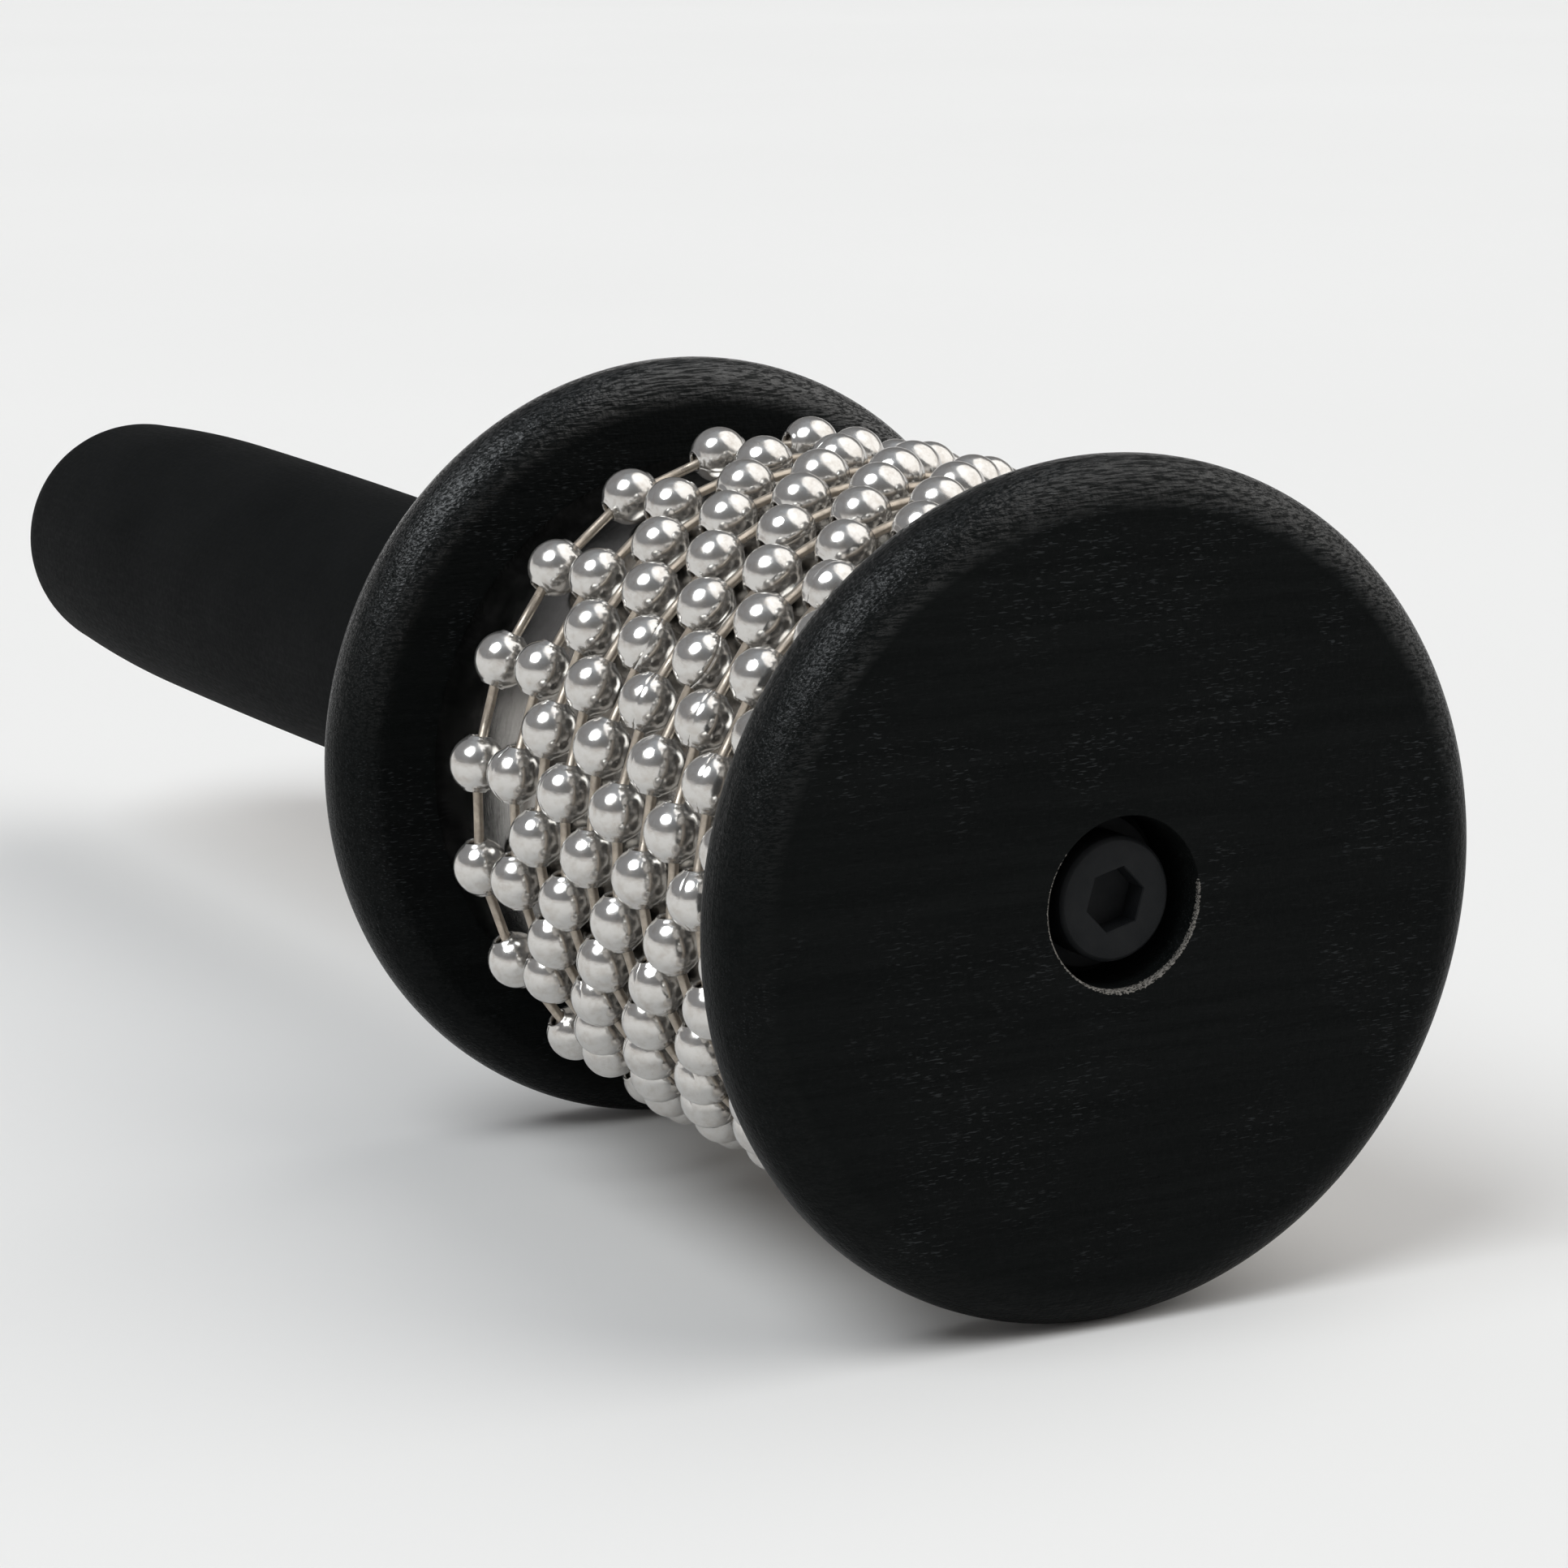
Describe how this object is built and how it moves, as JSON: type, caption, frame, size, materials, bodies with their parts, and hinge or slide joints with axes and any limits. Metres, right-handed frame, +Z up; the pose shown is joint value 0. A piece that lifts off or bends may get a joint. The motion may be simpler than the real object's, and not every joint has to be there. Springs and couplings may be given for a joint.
{
  "type": "cabasa",
  "caption": "Hand-held cabasa: a steel-sleeved drum between two round black discs, wrapped in loops of metal bead chain, on a tapered black handle.",
  "frame": {"origin": "midway along the instrument, straight below its axis, level with the lowest points of both disc rims, on which it lies", "axes": "+X along the axis, out of the front disc's face, with the handle towards -X; +Z up; +Y across"},
  "size_m": [0.2846, 0.09, 0.09],
  "materials": {
    "lacquered_wood": "satin black lacquer over faint wood grain",
    "handle_finish": "matte black lacquer on turned wood",
    "core_wood": "plain turned wood",
    "sleeve_steel": "rolled steel sheet with fine texture",
    "black_steel": "black oxide",
    "insert_brass": "machined",
    "bead_steel": "nickel plated, with fine scratches",
    "link_steel": "nickel plated wire"
  },
  "bodies": {
    "drum": {"front_disc": "lacquered_wood", "rear_disc": "lacquered_wood", "handle": "handle_finish", "drum_core": "core_wood", "drum_sleeve": "sleeve_steel", "clamp_screw": "black_steel", "screw_washer": "black_steel", "handle_insert": "insert_brass"},
    "loop_01": {"loop_01_beads": "bead_steel", "loop_01_links": "link_steel"},
    "loop_02": {"loop_02_beads": "bead_steel", "loop_02_links": "link_steel"},
    "loop_03": {"loop_03_beads": "bead_steel", "loop_03_links": "link_steel"},
    "loop_04": {"loop_04_beads": "bead_steel", "loop_04_links": "link_steel"},
    "loop_05": {"loop_05_beads": "bead_steel", "loop_05_links": "link_steel"},
    "loop_06": {"loop_06_beads": "bead_steel", "loop_06_links": "link_steel"},
    "loop_07": {"loop_07_beads": "bead_steel", "loop_07_links": "link_steel"},
    "loop_08": {"loop_08_beads": "bead_steel", "loop_08_links": "link_steel"},
    "loop_09": {"loop_09_beads": "bead_steel", "loop_09_links": "link_steel"},
    "loop_10": {"loop_10_beads": "bead_steel", "loop_10_links": "link_steel"}
  },
  "joints": [
    {"name": "net_spin", "type": "hinge", "parent": "drum", "child": "loop_01", "pos_m": [0.12675, 0, 0.045], "axis": [-1, 0, 0], "continuous": true},
    {"name": "loop_02_slide", "type": "slide", "parent": "loop_01", "child": "loop_02", "axis": [-1, 0, 0], "range_m": [0, 0.00158]},
    {"name": "loop_03_slide", "type": "slide", "parent": "loop_01", "child": "loop_03", "axis": [-1, 0, 0], "range_m": [0, 0.00316]},
    {"name": "loop_04_slide", "type": "slide", "parent": "loop_01", "child": "loop_04", "axis": [-1, 0, 0], "range_m": [0, 0.00473]},
    {"name": "loop_05_slide", "type": "slide", "parent": "loop_01", "child": "loop_05", "axis": [-1, 0, 0], "range_m": [0, 0.00631]},
    {"name": "loop_06_slide", "type": "slide", "parent": "loop_01", "child": "loop_06", "axis": [-1, 0, 0], "range_m": [0, 0.00789]},
    {"name": "loop_07_slide", "type": "slide", "parent": "loop_01", "child": "loop_07", "axis": [-1, 0, 0], "range_m": [0, 0.00947]},
    {"name": "loop_08_slide", "type": "slide", "parent": "loop_01", "child": "loop_08", "axis": [-1, 0, 0], "range_m": [0, 0.01104]},
    {"name": "loop_09_slide", "type": "slide", "parent": "loop_01", "child": "loop_09", "axis": [-1, 0, 0], "range_m": [0, 0.01262]},
    {"name": "loop_10_slide", "type": "slide", "parent": "loop_01", "child": "loop_10", "axis": [-1, 0, 0], "range_m": [0, 0.0142]}
  ],
  "couplings": [
    {"joint": "loop_02_slide", "follows": "loop_10_slide", "ratio": 0.11111},
    {"joint": "loop_03_slide", "follows": "loop_10_slide", "ratio": 0.22222},
    {"joint": "loop_04_slide", "follows": "loop_10_slide", "ratio": 0.33333},
    {"joint": "loop_05_slide", "follows": "loop_10_slide", "ratio": 0.44444},
    {"joint": "loop_06_slide", "follows": "loop_10_slide", "ratio": 0.55556},
    {"joint": "loop_07_slide", "follows": "loop_10_slide", "ratio": 0.66667},
    {"joint": "loop_08_slide", "follows": "loop_10_slide", "ratio": 0.77778},
    {"joint": "loop_09_slide", "follows": "loop_10_slide", "ratio": 0.88889}
  ]
}
